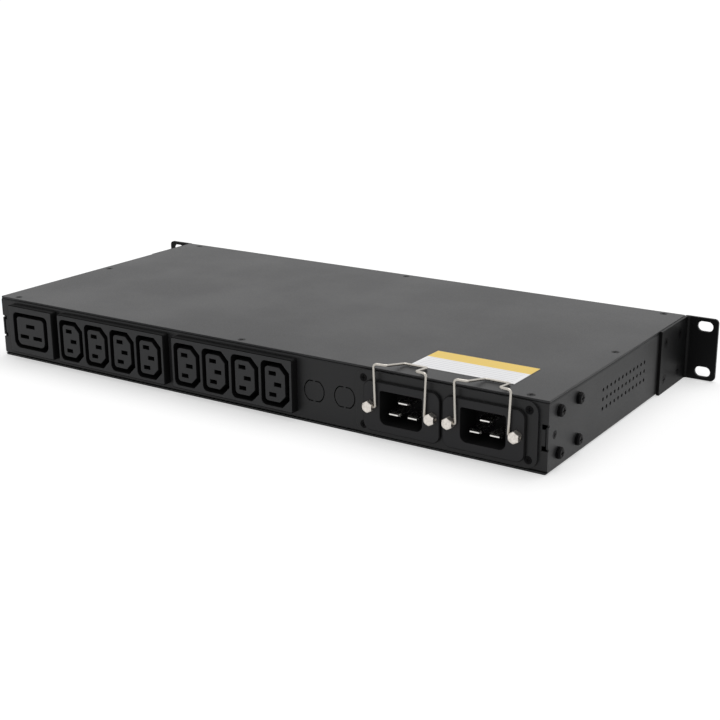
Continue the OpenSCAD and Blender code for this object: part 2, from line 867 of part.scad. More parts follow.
// Right ear: one sheet bent once, with its flange in front and its side plate along the wall.
module ear() {
  mid_z = ear_lift + ear_h / 2;
  flange_end = ear_span / 2;
  difference() {
    intersection() {
      translate([0, 0, ear_lift])
        linear_extrude(ear_h)
          translate([side_x, front_y - front_t])
            difference() {
              union() {
                translate([bend_r, 0])
                  square([flange_end - side_x - bend_r, ear_t]);
                translate([0, bend_r])
                  square([ear_t, ear_depth + front_t - bend_r]);
                translate([bend_r, bend_r])
                  circle(bend_r);
                translate([bend_r, bend_r])
                  square([ear_t, ear_t]);
              }
              translate([ear_t + bend_r, ear_t + bend_r])
                circle(bend_r);
            }
      union() {
        translate([0, 0, mid_z])
          plate_y(front_y - front_t - 1, front_y + 8)
            round_rect(ear_span, ear_h, ear_corner_r);
        box([side_x - 1, front_y, 0], [side_x + ear_t + bend_r, front_y + ear_depth + 1, chassis_h]);
      }
    }
    for (s = [-1, 1])
      translate([ear_hole_span / 2, 0, mid_z + s * ear_hole_rise / 2])
        plate_y(front_y - front_t - 1, front_y + 1) {
          square([ear_slot_l - ear_slot_h, ear_slot_h], center = true);
          for (i = [-1, 1])
            translate([i * (ear_slot_l - ear_slot_h) / 2, 0])
              circle(ear_slot_h / 2);
        }
    for (g = FRONT_GRID)
      translate([side_x + ear_t, g[0], g[1]])
        rotate([0, 90, 0])
          csk_screw(M4_CSK, 6, screw_fit);
  }
}

module rack_ear_right() {
  color(steel_black)
    ear();
}

module rack_ear_left() {
  color(steel_black)
    mirror([1, 0, 0])
      ear();
}

module ear_screws() {
  color("black")
    for (s = [0, 1])
      mirror([s, 0, 0])
        for (g = FRONT_GRID)
          translate([side_x + ear_t, g[0], g[1]])
            rotate([0, 90, 0])
              csk_head(M4_CSK, ear_screw_l);
}

// ---------------------------------------------------------------- outlets

// Socket outline with two corners cut on the -X side and two rounded on the other.
module small_outline(s) {
  w = s[0];
  h = s[1];
  cut = s[3];
  intersection() {
    round_rect(w, h, s[2]);
    polygon([
      [w / 2, -h / 2], [w / 2, h / 2], [cut - w / 2, h / 2], [-w / 2, h / 2 - cut],
      [-w / 2, cut - h / 2], [cut - w / 2, -h / 2]]);
  }
}

// Wide outline whose two lower corners have the larger radius.
module large_outline(s) {
  intersection() {
    round_rect(s[0], s[1], s[2]);
    translate([0, s[1] / 2])
      round_rect(s[0], 2 * s[1], s[3]);
  }
}

module small_groove() {
  difference() {
    small_outline(SMALL_GROOVE);
    small_outline(SMALL_CORE);
  }
}

module large_groove() {
  difference() {
    large_outline(LARGE_GROOVE);
    large_outline(LARGE_CORE);
  }
}

// Block with a rim in front of the panel and its body behind it.
module block_body(w) {
  plate_y(rear_y, block_face - edge_round)
    round_rect(w, block_h, 1);
  plate_y(rear_y, block_face)
    round_rect(w - 2 * edge_round, block_h - 2 * edge_round, 0.8);
  plate_y(block_end, rear_y + eps)
    square([w - 2 * rim, body_h], center = true);
  // snap hooks that grip behind the panel
  for (s = [0, 1], z = [-hook_z, hook_z])
    mirror([s, 0, 0])
      translate([w / 2 - rim - eps, panel_in_y - 0.1, z - hook_w / 2])
        linear_extrude(hook_w)
          polygon([[0, 0], [hook_proud + body_fit, 0], [0, -hook_l]]);
}

// Contact slots and their narrow tail holes at the poles.
module contact_slots(poles, w) {
  for (p = poles)
    translate([p[0], 0, p[1]]) {
      plate_y(block_face - contact_floor, block_face + 1)
        square([w + 2 * contact_play, contact_slot_h], center = true);
      plate_y(block_end - 1, block_face - contact_floor + eps)
        square([tail_w + 2 * screw_fit, tail_t + 2 * screw_fit], center = true);
    }
}

module bank(x) {
  color(plastic_black)
    translate([x, 0, block_z])
      difference() {
        block_body(bank_w);
        for (dx = BANK_X)
          translate([dx, 0, -small_drop]) {
            plate_y(socket_floor, block_face + 1)
              small_groove();
            contact_slots(SMALL_POLES, small_contact_w);
          }
      }
}

module outlet_bank_1() {
  bank(bank_1_x);
}

module outlet_bank_2() {
  bank(bank_2_x);
}

module outlet_large() {
  color(plastic_black)
    translate([large_x, 0, block_z])
      difference() {
        block_body(large_w);
        plate_y(socket_floor, block_face + 1)
          large_groove();
        contact_slots(LARGE_POLES, large_contact_w);
      }
}

// Sprung contact: two leaves joined by a base, with a tail through the back of the block.
module contact(w) {
  half = contact_slot_h / 2 - 0.1;
  base_y = block_face - contact_floor;
  front = block_face - contact_inset;
  bend_y = base_y + 5;
  throat_y = front - 2.5;
  throat = half - leaf_throat;
  translate([-w / 2, 0, 0])
    rotate([90, 0, 90])
      linear_extrude(w)
        for (s = [0, 1])
          mirror([0, s])
            polygon([
              [base_y, 0], [base_y, half], [bend_y, half], [throat_y, throat], [front, half],
              [front, half - leaf_t], [throat_y, throat - leaf_t], [bend_y, half - leaf_t],
              [base_y + leaf_t, half - leaf_t], [base_y + leaf_t, 0]]);
  box([-tail_w / 2, block_end - tail_l, -tail_t / 2], [tail_w / 2, base_y + eps, tail_t / 2]);
}

module bank_contacts(x) {
  color(brass)
    for (dx = BANK_X, p = SMALL_POLES)
      translate([x + dx + p[0], 0, small_z + p[1]])
        contact(small_contact_w);
}

module bank_1_contacts() {
  bank_contacts(bank_1_x);
}

module bank_2_contacts() {
  bank_contacts(bank_2_x);
}

module large_contacts() {
  color(brass)
    for (p = LARGE_POLES)
      translate([large_x + p[0], 0, block_z + p[1]])
        contact(large_contact_w);
}

// Three rails that join the like poles of both blocks of small outlets.
module outlet_bus_bars() {
  bus_x0 = bank_2_x + BANK_X[0] - 6;
  bus_x1 = bank_1_x + BANK_X[bank_outlets - 1] + 8;
  color(brass)
    for (p = SMALL_POLES)
      difference() {
        box([bus_x0, bus_y, small_z + p[1] - bus_h / 2], [bus_x1, block_end, small_z + p[1] + bus_h / 2]);
        for (x = [bank_1_x, bank_2_x], dx = BANK_X)
          translate([x + dx + p[0], 0, small_z + p[1]])
            plate_y(bus_y - 1, block_end + 1)
              square([tail_w + 2 * screw_fit, tail_t + 2 * screw_fit], center = true);
      }
}

// ---------------------------------------------------------------- inlets

module inlet_plate() {
  color(steel_black)
    difference() {
      translate([plate_x, 0, plate_z])
        plate_y(rear_y, plate_face)
          round_rect(plate_w, plate_h, plate_r);
      for (x = INLET_X)
        inlet_cutout(x, plate_face + 1);
      for (p = PLATE_HOLES)
        translate([p[0], plate_face, p[1]])
          rotate([-90, 0, 0])
            csk_screw(M3_CSK, 4, screw_fit);
      for (x = POST_X)
        rod_y(x, inlet_z, post_stud_r + screw_fit, rear_y - 1, plate_face + 1);
    }
}

module plate_screws() {
  color("black")
    for (p = PLATE_HOLES)
      translate([p[0], plate_face, p[1]])
        rotate([-90, 0, 0])
          csk_head(M3_CSK, plate_screw_l);
}

module inlet_housing(x) {
  color(plastic_black)
    translate([x, 0, inlet_z])
      difference() {
        union() {
          plate_y(plate_face, inlet_face - flange_round)
            round_rect(flange_w, flange_h, flange_r);
          plate_y(plate_face, inlet_face)
            round_rect(flange_w - 2 * flange_round, flange_h - 2 * flange_round, flange_r - flange_round);
          plate_y(inlet_end, plate_face + eps)
            square([inlet_body_w, inlet_body_h], center = true);
        }
        plate_y(cavity_floor, inlet_face + 1)
          large_outline([cavity_w, cavity_h, 1.5, 4.5]);
        for (p = LARGE_POLES)
          translate([p[0], 0, p[1]])
            plate_y(inlet_end - 1, cavity_floor + 1)
              square([pin_w + 2 * screw_fit, pin_t + 2 * screw_fit], center = true);
        for (s = [-1, 1])
          rod_y(s * post_x, 0, post_stud_r + screw_fit, plate_face - 1, inlet_face + 1);
      }
}

module inlet_a_housing() {
  inlet_housing(inlet_a_x);
}

module inlet_b_housing() {
  inlet_housing(inlet_b_x);
}

// Outline of a blade w wide along X, with a nose chamfered by c across and by pin_nose along.
module blade_outline(w, c) {
  tip = cavity_floor + pin_l;
  polygon([
    [-w / 2, inlet_end], [w / 2, inlet_end], [w / 2, tip - pin_nose],
    [w / 2 - c, tip], [c - w / 2, tip], [-w / 2, tip - pin_nose]]);
}

// Blades with noses chamfered on all four sides, and thin tabs behind.
module inlet_pins(x) {
  color(bright_steel)
    for (p = LARGE_POLES)
      translate([x + p[0], 0, inlet_z + p[1]]) {
        intersection() {
          translate([0, 0, -pin_t / 2])
            linear_extrude(pin_t)
              blade_outline(pin_w, nose_side);
          translate([-pin_w / 2, 0, 0])
            rotate([0, 90, 0])
              linear_extrude(pin_w)
                blade_outline(pin_t, nose_flat);
        }
        box([-tab_w / 2, inlet_end - tab_l, -tab_t / 2], [tab_w / 2, inlet_end + eps, tab_t / 2]);
      }
}

module inlet_a_pins() {
  inlet_pins(inlet_a_x);
}

module inlet_b_pins() {
  inlet_pins(inlet_b_x);
}

// ---------------------------------------------------------------- cord retainers

// Hexagon posts whose faces are turned to a chamfer, each on a stud through the panel.
module retainer_posts() {
  color(bright_steel)
    for (x = POST_X)
      difference() {
        union() {
          intersection() {
            translate([x, 0, inlet_z])
              plate_y(inlet_face, inlet_face + post_l)
                rotate([0, 0, 30])
                  circle(post_r, $fn = 6);
            translate([x, inlet_face - 1, inlet_z])
              rotate([-90, 0, 0])
                cylinder(r1 = post_r + post_l + 1, r2 = post_af / 2 - 0.3, h = post_l + 1);
          }
          rod_y(x, inlet_z, post_stud_r, panel_in_y - nut_t - 1, inlet_face + eps);
        }
        rod_x(pivot_y, pivot_z, hole_r, x - post_af, x + post_af);
      }
}

module post_nuts() {
  color(bright_steel)
    for (x = POST_X)
      difference() {
        translate([x, 0, inlet_z])
          plate_y(panel_in_y - nut_t, panel_in_y)
            circle(nut_r, $fn = 6);
        rod_y(x, inlet_z, post_stud_r + screw_fit, panel_in_y - nut_t - 1, rear_y);
      }
}

// Retainer: feet in the posts, legs up past the inlet, shoulders, and a loop over the cover.
module retainer(x) {
  half = [
    [foot_end, 0, 0],
    [foot_x, 0, 0],
    [foot_x + leg_splay, 0, leg_l],
    [loop_root, -shoulder_reach, leg_l - shoulder_drop],
    [loop_tip, -loop_reach, leg_l - loop_drop]];
  points = concat(half, [for (i = [4:-1:0]) [-half[i][0], half[i][1], half[i][2]]]);
  bends = [for (i = [0:9]) i == 1 || i == 8 ? foot_bend : wire_bend];
  color(bright_steel)
    translate([x, pivot_y, pivot_z])
      bent_wire(points, wire_r, bends);
}

module retainer_a() {
  retainer(inlet_a_x);
}

module retainer_b() {
  retainer(inlet_b_x);
}

// ---------------------------------------------------------------- power stage

// Finned heatsink with fins milled off one side for the thyristor modules.
module heatsink() {
  fin_pitch = (sink_d - fin_t) / (fin_count - 1);
  color("#9a9c9e")
    difference() {
      translate([sink_x0, sink_mid_y, 0])
        rotate([90, 0, 90])
          linear_extrude(sink_w)
            translate([-sink_d / 2, sheet_t]) {
              square([sink_d, sink_base]);
              for (i = [0:fin_count - 1])
                translate([i * fin_pitch, 0])
                  square([fin_t, sink_base + fin_h]);
            }
      box([sink_x1 - sink_flat, sink_mid_y - sink_d, sink_top],
        [sink_x1 + 1, sink_mid_y + sink_d, chassis_h]);
      for (p = SINK_HOLES)
        translate([p[0], p[1], 0])
          cylinder(r = M4_PAN[0] + screw_fit, h = chassis_h);
      for (y = MODULE_Y, s = [-1, 1])
        translate([module_x + s * lug_x, y, sheet_t + 1])
          cylinder(r = M4_PAN[0] + screw_fit, h = sink_base);
    }
}

module heatsink_screws() {
  color(bright_steel)
    for (p = SINK_HOLES)
      translate([p[0], p[1], sink_top])
        pan_head(M4_PAN, sink_base + sheet_t - 0.2);
}

// Module: moulded body with two screw lugs and four raised terminals.
module thyristor_modules() {
  color(plastic_black)
    for (y = MODULE_Y)
      translate([module_x, y, sink_top])
        difference() {
          union() {
            linear_extrude(module_h)
              round_rect(module_l, module_w, 1.5);
            for (i = [-1, 1], j = [-1, 1])
              translate([i * terminal_x, j * terminal_y, module_h - eps])
                linear_extrude(boss_h + eps)
                  round_rect(boss_w, boss_w, 1);
          }
          for (s = [-1, 1])
            translate([s * lug_x, 0, 0]) {
              translate([0, 0, lug_t])
                cylinder(r = M4_PAN[1] + 0.4, h = module_h + boss_h);
              translate([0, 0, -1])
                cylinder(r = M4_PAN[0] + 0.1, h = module_h);
            }
          for (i = [-1, 1], j = [-1, 1])
            translate([i * terminal_x, j * terminal_y, module_h - 2])
              cylinder(r = M4_PAN[0] + screw_fit, h = 10);
        }
}

module module_screws() {
  color(bright_steel)
    for (y = MODULE_Y, s = [-1, 1])
      translate([module_x + s * lug_x, y, sink_top + lug_t])
        pan_head(M4_PAN, lug_t + sink_base - 1.5);
}

// Copper straps from the modules' terminals to the edge of the power board.
module module_straps() {
  color("#b87344")
    for (y = STRAP_Y)
      difference() {
        translate([0, y, strap_z])
          linear_extrude(strap_t)
            translate([(strap_from + strap_to) / 2, 0])
              round_rect(strap_to - strap_from + strap_w, strap_w, 2);
        for (x = [strap_from, strap_to])
          translate([x, y, strap_z - 1])
            cylinder(r = M4_PAN[0] + screw_fit, h = 4);
      }
}

module strap_posts() {
  color(brass)
    for (y = STRAP_Y)
      translate([strap_to, y, board_top])
        difference() {
          cylinder(r = strap_post_r, h = strap_z - board_top);
          translate([0, 0, strap_z - board_top - 7])
            cylinder(r = M4_PAN[0] + screw_fit, h = 8);
        }
}

module strap_screws() {
  color(bright_steel)
    for (y = STRAP_Y) {
      translate([strap_from, y, strap_z + strap_t])
        pan_head(M4_PAN, 5);
      translate([strap_to, y, strap_z + strap_t])
        pan_head(M4_PAN, 6);
    }
}

// ---------------------------------------------------------------- boards

module power_board() {
  color("#2f6b45")
    difference() {
      translate([board_mid_x, board_mid_y, board_z])
        linear_extrude(board_t)
          round_rect(board_w, board_d, 2);
      for (p = BOARD_HOLES)
        translate([p[0], p[1], board_z - 1])
          cylinder(r = M3_PAN[0] + screw_fit, h = 4);
    }
}

module board_post() {
  difference() {
    cylinder(r = nut_r, h = board_lift, $fn = 6);
    translate([0, 0, 1])
      cylinder(r = M3_PAN[0] + screw_fit, h = board_lift);
  }
}

module board_posts() {
  color(brass)
    for (p = concat(BOARD_HOLES, CONTROL_HOLES))
      translate([p[0], p[1], sheet_t])
        board_post();
}

module board_screws() {
  color(bright_steel)
    for (p = concat(BOARD_HOLES, CONTROL_HOLES))
      translate([p[0], p[1], board_top])
        pan_head(M3_PAN, 6);
}

module relays() {
  color("#30333a")
    for (x = RELAY_X)
      translate([x, row_front_y, board_top]) {
        linear_extrude(relay_h)
          round_rect(relay_w, relay_d, 1);
        translate([0, 0, relay_h - 1])
          linear_extrude(1.8)
            round_rect(relay_w - 4, relay_d - 4, 1);
      }
}

// Small board transformer: laminated core with a wound coil through its window.
module transformer() {
  core_w = 32;
  core_t = 12;
  core_h = 25;
  coil_w = 22;
  coil_d = 25;
  limb = 5;
  leg = 10;
  window = (core_w - leg - 2 * limb) / 2;
  difference() {
    translate([-core_w / 2, -core_t / 2, 0])
      cube([core_w, core_t, core_h]);
    for (s = [-1, 1])
      translate([s * (leg + window) / 2 - window / 2, -core_t, limb])
        cube([window, 2 * core_t, core_h - 2 * limb]);
  }
  translate([0, 0, limb])
    linear_extrude(core_h - 2 * limb)
      difference() {
        round_rect(coil_w, coil_d, 3);
        square([leg, core_t], center = true);
      }
}

module supply_transformers() {
  color("#7a4a2a")
    for (x = TRANSFORMER_X)
      translate([x, row_front_y + 4, board_top])
        rotate([0, 0, 90])
          transformer();
}

// Ring cores on feet, around the path of the phase conductors.
module current_sensors() {
  color("#20304a")
    for (x = SENSOR_X)
      translate([x, row_mid_y, board_top])
        difference() {
          union() {
            translate([0, 0, sensor_r])
              rotate([90, 0, 0])
                cylinder(r = sensor_r, h = sensor_t, center = true);
            translate([-sensor_r, -sensor_t / 2, 0])
              cube([2 * sensor_r, sensor_t, sensor_r]);
          }
          translate([0, 0, sensor_r + 1])
            rotate([90, 0, 0])
              cylinder(r = sensor_bore_r, h = 2 * sensor_t, center = true);
        }
}

module varistors() {
  lift = 2.5;
  color("#2255aa")
    for (x = VARISTOR_X)
      translate([x, row_mid_y, board_top]) {
        translate([0, 0, varistor_r + lift])
          rotate([0, 90, 0])
            cylinder(r = varistor_r, h = varistor_t, center = true);
        for (s = [-1, 1])
          translate([0, s * varistor_r / 2, 0])
            cylinder(r = 0.5, h = varistor_r / 2 + lift);
      }
}

module fuses() {
  color("#e8e2d2")
    for (x = FUSE_X)
      rod_y(x, fuse_z, fuse_r, fuse_y - fuse_l / 2, fuse_y + fuse_l / 2);
}

// Two spring clips that hold each fuse by its ends.
module fuse_clips() {
  axis = fuse_z - board_top;
  reach = fuse_l / 2 - clip_w + 1;
  color(brass)
    for (x = FUSE_X, s = [0, 1])
      translate([x, fuse_y, board_top])
        mirror([0, s, 0])
          translate([0, reach + clip_w, 0])
            rotate([90, 0, 0])
              linear_extrude(clip_w)
                difference() {
                  union() {
                    translate([-4, 0])
                      square([8, axis]);
                    translate([0, axis])
                      circle(fuse_r + 0.7);
                  }
                  translate([0, axis])
                    circle(fuse_r + screw_fit);
                  translate([-2, axis])
                    square([4, axis]);
                }
}

module film_capacitors() {
  color("#c8b41e")
    for (x = FILM_X)
      translate([x, row_rear_y, board_top])
        linear_extrude(film_h)
          round_rect(film_w, film_d, 0.8);
}

// Terminal block with wire entries towards the rear and screw wells on top.
module terminal_block(poles) {
  w = poles * pole_pitch;
  well_y = block_in_y - 8;
  difference() {
    rotate([90, 0, 90])
      translate([0, 0, -w / 2])
        linear_extrude(w)
          polygon([
            [block_in_y - terminal_d, board_top], [block_in_y, board_top], [block_in_y, board_top + 10],
            [block_in_y - 4, block_top_z], [block_in_y - terminal_d, block_top_z]]);
    for (i = [0:poles - 1])
      translate([(i - (poles - 1) / 2) * pole_pitch, 0, 0]) {
        rod_y(0, entry_z, lead_r + 0.1, well_y, block_in_y + 1);
        translate([0, well_y, block_top_z - 6])
          cylinder(r = 2.5, h = 7);
      }
  }
}

module terminal_blocks() {
  color("#2c7d4f") {
    translate([input_block_x, 0, 0])
      terminal_block(6);
    for (x = [output_block_x, large_block_x])
      translate([x, 0, 0])
        terminal_block(3);
  }
}

// ---------------------------------------------------------------- front controls

module control_board() {
  color("#2f6b45")
    difference() {
      translate([control_mid_x, control_y0 + control_d / 2, board_z])
        linear_extrude(board_t)
          round_rect(control_w, control_d, 1);
      for (p = CONTROL_HOLES)
        translate([p[0], p[1], board_z - 1])
          cylinder(r = M3_PAN[0] + screw_fit, h = 4);
    }
}

module control_chips() {
  chip_t = 1.6;
  mid_y = control_y0 + control_d * 0.63;
  color(plastic_black)
    translate([control_mid_x, mid_y, board_top]) {
      translate([2, 0, 0])
        linear_extrude(chip_t)
          round_rect(14, 14, 0.5);
      for (x = [-18, -10])
        translate([x, -4, 0])
          linear_extrude(chip_t)
            square([4, 10], center = true);
      translate([17, 1, 0])
        cylinder(r = 5.5, h = 12);
    }
}

// Jack whose mouth is flush with the front plate.
module jack(x, w, mouth_w, mouth_h) {
  mouth_end = jack_face + jack_d - 5;
  difference() {
    box([x - w / 2, jack_face, board_top], [x + w / 2, jack_face + jack_d, board_top + jack_h]);
    box([x - mouth_w / 2, jack_face - 1, mouth_z], [x + mouth_w / 2, mouth_end, mouth_z + mouth_h]);
    box([x - key_w / 2, jack_face - 1, mouth_z - key_h],
      [x + key_w / 2, mouth_end, mouth_z + eps]);
    for (i = [-3.5:3.5])
      translate([x + i * 1.02, 0, 0])
        box([-0.25, jack_face + 3, mouth_z + mouth_h - eps],
          [0.25, mouth_end - 1, mouth_z + mouth_h + 0.8]);
  }
}

module network_jack() {
  color("#8f9193")
    jack(jack_x, jack_w, 11.7, 7);
}

module serial_jack() {
  color(plastic_black)
    jack(serial_x, serial_w, 9.7, 6.6);
}

module display_board() {
  color("#2f6b45")
    difference() {
      translate([0, 0, display_z])
        plate_y(display_y, display_y + board_t)
          round_rect(display_w, display_h, 1);
      for (p = DISPLAY_HOLES)
        rod_y(p[0], p[1], M3_PAN[0] + screw_fit, display_y - 1, display_y + board_t + 1);
    }
}

// Studs pressed into the front plate, with the board's nuts on them.
module display_posts() {
  color(brass)
    for (p = DISPLAY_HOLES)
      translate([p[0], 0, p[1]]) {
        difference() {
          plate_y(front_y, display_y)
            circle(nut_r, $fn = 6);
          rod_y(0, 0, M3_PAN[0] + screw_fit, front_y + 2, display_y + 1);
        }
        translate([0, display_y + board_t, 0])
          rotate([-90, 0, 0])
            pan_head(M3_PAN, board_t + 4);
      }
}

module status_lamps() {
  color("#5fbf5a")
    for (x = LAMP_X) {
      rod_y(x, display_z, lamp_r, front_y - front_t - 0.4, display_y);
      rod_y(x, display_z, lamp_r + 0.8, front_y + 0.1, display_y);
    }
}

// Switch behind the button, with a bore for its plunger.
module button_switch() {
  color(plastic_black)
    difference() {
      translate([button_x, 0, display_z])
        plate_y(switch_y, display_y)
          square([switch_w, switch_w], center = true);
      rod_y(button_x, display_z, plunger_r + pivot_gap, switch_y - 1, display_y - 0.5);
    }
}

module switch_plunger() {
  color("#d8d8d4")
    rod_y(button_x, display_z, plunger_r, collar_y - plunger_seat, switch_y + plunger_seat);
}

// Push button: its collar behind the plate keeps it in.
module select_button() {
  color("#55585c")
    difference() {
      union() {
        rod_y(button_x, display_z, button_r - button_round, button_face, front_y + collar_rest);
        rod_y(button_x, display_z, button_r, button_face + button_round, front_y + collar_rest + eps);
        rod_y(button_x, display_z, button_r + collar_grow, front_y + collar_rest, collar_y);
      }
      rod_y(button_x, display_z, plunger_r + screw_fit, collar_y - plunger_seat - 0.1, collar_y + 1);
    }
}

// ---------------------------------------------------------------- wiring

// Lead from the point p, up along its own lane and down to an entry of a terminal block at x1.
module lane_lead(p, lane_y, z, x1) {
  bent_wire([
      p, [p[0], lane_y, p[2]], [p[0], lane_y, z], [x1, lane_y, z],
      [x1, lane_y, entry_z], [x1, entry_end_y, entry_z]], lead_r,
    [0, lane_bend, lane_bend, lane_bend, lane_bend, 0]);
}

// Tab of pole i of an inlet, where its lead starts.
function inlet_tab(x, i) = [x + LARGE_POLES[i][0], inlet_end - tab_l - 0.1, inlet_z + LARGE_POLES[i][1]];

module inlet_a_leads() {
  color("sienna")
    for (i = [0:2])
      lane_lead(inlet_tab(inlet_a_x, 2 - i), block_in_y + 5.5, lane_z - lane_step * i,
        input_block_x - (0.5 + i) * pole_pitch);
}

module inlet_b_leads() {
  color("sienna")
    for (i = [0:2])
      lane_lead(inlet_tab(inlet_b_x, 2 - i), block_in_y + 1.8, lane_z - lane_step * i,
        input_block_x + (2.5 - i) * pole_pitch);
}

// Leads to the three rails, and to the tails of the large outlet's contacts.
module outlet_leads() {
  turn_y = block_in_y + 8;
  color("sienna")
    for (i = [0:2])
      let (
        x = output_block_x + (i - 1) * pole_pitch,
        z = small_z + SMALL_POLES[i][1],
        start = [x, entry_end_y, entry_z],
        pole = LARGE_POLES[i]) {
        if (abs(z - entry_z) < bus_h / 2)
          bent_wire([start, [x, bus_y, entry_z]], lead_r, [0, 0]);
        else
          bent_wire([start, [x, turn_y, entry_z], [x, turn_y, z], [x, bus_y, z]], lead_r, [0, 2.5, 2.5, 0]);
        lane_lead([large_x + pole[0], block_end - tail_l - 0.1, block_z + pole[1]], turn_y,
          lane_z - lane_step * i, large_block_x + (i - 1) * pole_pitch);
      }
}

module earth_stud() {
  color(brass) {
    translate([stud_x, stud_y, sheet_t])
      cylinder(r = 2, h = 12);
    translate([stud_x, stud_y, sheet_t])
      cylinder(r = 7 / 2 / cos(30), h = 3.2, $fn = 6);
  }
}

base_tray();
rear_panel();
front_plate();
top_cover();
rack_ear_right();
rack_ear_left();
inlet_plate();
inlet_a_housing();
inlet_b_housing();
inlet_a_pins();
inlet_b_pins();
retainer_posts();
post_nuts();
retainer_a();
retainer_b();
outlet_bank_1();
outlet_bank_2();
outlet_large();
bank_1_contacts();
bank_2_contacts();
large_contacts();
outlet_bus_bars();
cover_screws();
side_screws();
corner_screws();
plate_screws();
ear_screws();
cover_label();
heatsink();
heatsink_screws();
thyristor_modules();
module_screws();
module_straps();
strap_posts();
strap_screws();
power_board();
board_posts();
board_screws();
relays();
supply_transformers();
current_sensors();
varistors();
fuses();
fuse_clips();
film_capacitors();
terminal_blocks();
control_board();
control_chips();
network_jack();
serial_jack();
display_board();
display_posts();
status_lamps();
button_switch();
switch_plunger();
select_button();
inlet_a_leads();
inlet_b_leads();
outlet_leads();
earth_stud();
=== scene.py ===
"""Looks of the rack static transfer switch: finishes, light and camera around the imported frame."""

import math

import bpy
import numpy as np
from mathutils import Matrix, Vector


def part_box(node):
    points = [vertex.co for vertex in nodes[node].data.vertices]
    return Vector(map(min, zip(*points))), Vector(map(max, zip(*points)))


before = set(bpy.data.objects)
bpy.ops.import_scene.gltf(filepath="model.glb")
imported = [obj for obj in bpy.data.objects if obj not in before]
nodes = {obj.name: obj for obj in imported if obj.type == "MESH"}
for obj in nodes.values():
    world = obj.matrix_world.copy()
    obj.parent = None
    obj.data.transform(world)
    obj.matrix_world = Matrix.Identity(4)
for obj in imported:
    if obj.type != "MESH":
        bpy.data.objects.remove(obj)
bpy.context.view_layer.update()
MM = 0.001

# Paint of the case, and how much light it mirrors
PAINT = (0.018, 0.0182, 0.019)
PAINT_SHEEN = 0.25
# Radii that the paint and the plastic round their edges to
PAINT_EDGE = 0.45 * MM
PLASTIC_EDGE = 0.3 * MM
# Coloured band along the label's far edge, and the spacing of its ruled lines
LABEL_BAND = 12.8 * MM
LABEL_PITCH = 3.1 * MM
# Steel left bare past the coil of a transformer, in height and in depth
COIL_MARGIN_Z = 5.02 * MM
COIL_MARGIN_Y = 4.9 * MM
# Length of a fuse's end caps
FUSE_CAP = 6.2 * MM
# Floor: half its width and its distance below the base, in metres, and its glow in plain sight
FLOOR_REACH = 40.0
FLOOR_DROP = 0.0002
FLOOR_GLOW = 0.52
# Soft light from all round, and the one lamp: direction, spread in degrees and strength
SKY_LIGHT = 0.5
KEY_TOWARDS = (-0.05, 0.35, -1.0)
KEY_SPREAD = 50.0
KEY_STRENGTH = 1.2
# Camera: azimuth, elevation and roll in degrees, focal length in mm, place in metres
CAMERA_ANGLES = (213.69, 17.32, -0.49)
CAMERA_LENS = 64.964
CAMERA_PLACE = (-0.50453, 0.72103, 0.27784)


# ---------------------------------------------------------------- shader maths


class Value:
    """A socket or number with the usual operators, each of which adds one Math node."""

    def __init__(self, graph, source):
        self.graph = graph
        self.source = source

    def _math(self, operation, *others):
        parts = [o.source if isinstance(o, Value) else o for o in (self, *others)]
        return self.graph.add("ShaderNodeMath", {"operation": operation}, dict(enumerate(parts)))

    def __add__(self, other):
        return self._math("ADD", other)

    __radd__ = __add__

    def __mul__(self, other):
        return self._math("MULTIPLY", other)

    __rmul__ = __mul__

    def __sub__(self, other):
        return self._math("SUBTRACT", other)

    def __rsub__(self, other):
        return Value(self.graph, other)._math("SUBTRACT", self)

    def __truediv__(self, other):
        return self._math("DIVIDE", other)

    def __abs__(self):
        return self._math("ABSOLUTE")

    def low(self, other):
        return self._math("MINIMUM", other)

    def high(self, other):
        return self._math("MAXIMUM", other)

    def above(self, other):
        return self._math("GREATER_THAN", other)

    def below(self, other):
        return self._math("LESS_THAN", other)

    def wrap(self, step):
        return self._math("MODULO", step)

    def sine(self):
        return self._math("SINE")

    def ramp(self, low, high, start=0.0, end=1.0):
        """start where the value is low, end where it is high, smoothly between."""
        return self.graph.add(
            "ShaderNodeMapRange", {"interpolation_type": "SMOOTHSTEP"},
            {"Value": self, "From Min": low, "From Max": high, "To Min": start, "To Max": end})


